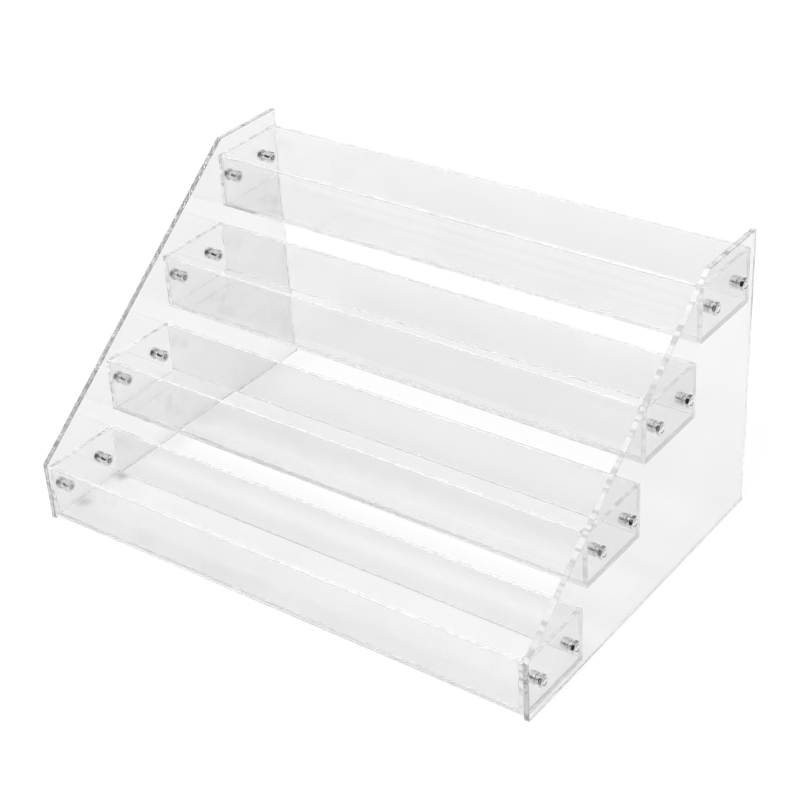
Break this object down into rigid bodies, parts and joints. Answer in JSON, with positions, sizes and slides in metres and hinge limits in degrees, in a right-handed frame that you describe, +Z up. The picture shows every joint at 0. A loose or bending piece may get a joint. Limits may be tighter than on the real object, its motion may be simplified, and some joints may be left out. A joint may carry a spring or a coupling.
{
  "type": "nail polish rack",
  "caption": "Clear acrylic counter rack: open trays step up and back between two sloped side panels, bolted at every tray end.",
  "frame": {"origin": "on the ground, under the centre of the rack", "axes": "+X to the right along the trays, +Y to the back, +Z up; the low front tray is at -Y"},
  "size_m": [0.4056, 0.273, 0.209],
  "materials": {
    "side_acrylic": "clear, polished faces and cut edges",
    "tray_acrylic": "clear, polished faces and cut edges",
    "screw_steel": "bright nickel plate",
    "nut_steel": "bright nickel plate"
  },
  "bodies": {
    "root": {"left_side_panel": "side_acrylic", "right_side_panel": "side_acrylic", "tray_1_floor": "tray_acrylic", "tray_1_front_wall": "tray_acrylic", "tray_1_back_wall": "tray_acrylic", "tray_1_left_end": "tray_acrylic", "tray_1_right_end": "tray_acrylic", "tray_1_left_screws": "screw_steel", "tray_1_left_nuts": "nut_steel", "tray_1_right_screws": "screw_steel", "tray_1_right_nuts": "nut_steel", "tray_2_floor": "tray_acrylic", "tray_2_front_wall": "tray_acrylic", "tray_2_back_wall": "tray_acrylic", "tray_2_left_end": "tray_acrylic", "tray_2_right_end": "tray_acrylic", "tray_2_left_screws": "screw_steel", "tray_2_left_nuts": "nut_steel", "tray_2_right_screws": "screw_steel", "tray_2_right_nuts": "nut_steel", "tray_3_floor": "tray_acrylic", "tray_3_front_wall": "tray_acrylic", "tray_3_back_wall": "tray_acrylic", "tray_3_left_end": "tray_acrylic", "tray_3_right_end": "tray_acrylic", "tray_3_left_screws": "screw_steel", "tray_3_left_nuts": "nut_steel", "tray_3_right_screws": "screw_steel", "tray_3_right_nuts": "nut_steel", "tray_4_floor": "tray_acrylic", "tray_4_front_wall": "tray_acrylic", "tray_4_back_wall": "tray_acrylic", "tray_4_left_end": "tray_acrylic", "tray_4_right_end": "tray_acrylic", "tray_4_left_screws": "screw_steel", "tray_4_left_nuts": "nut_steel", "tray_4_right_screws": "screw_steel", "tray_4_right_nuts": "nut_steel"}
  },
  "joints": []
}
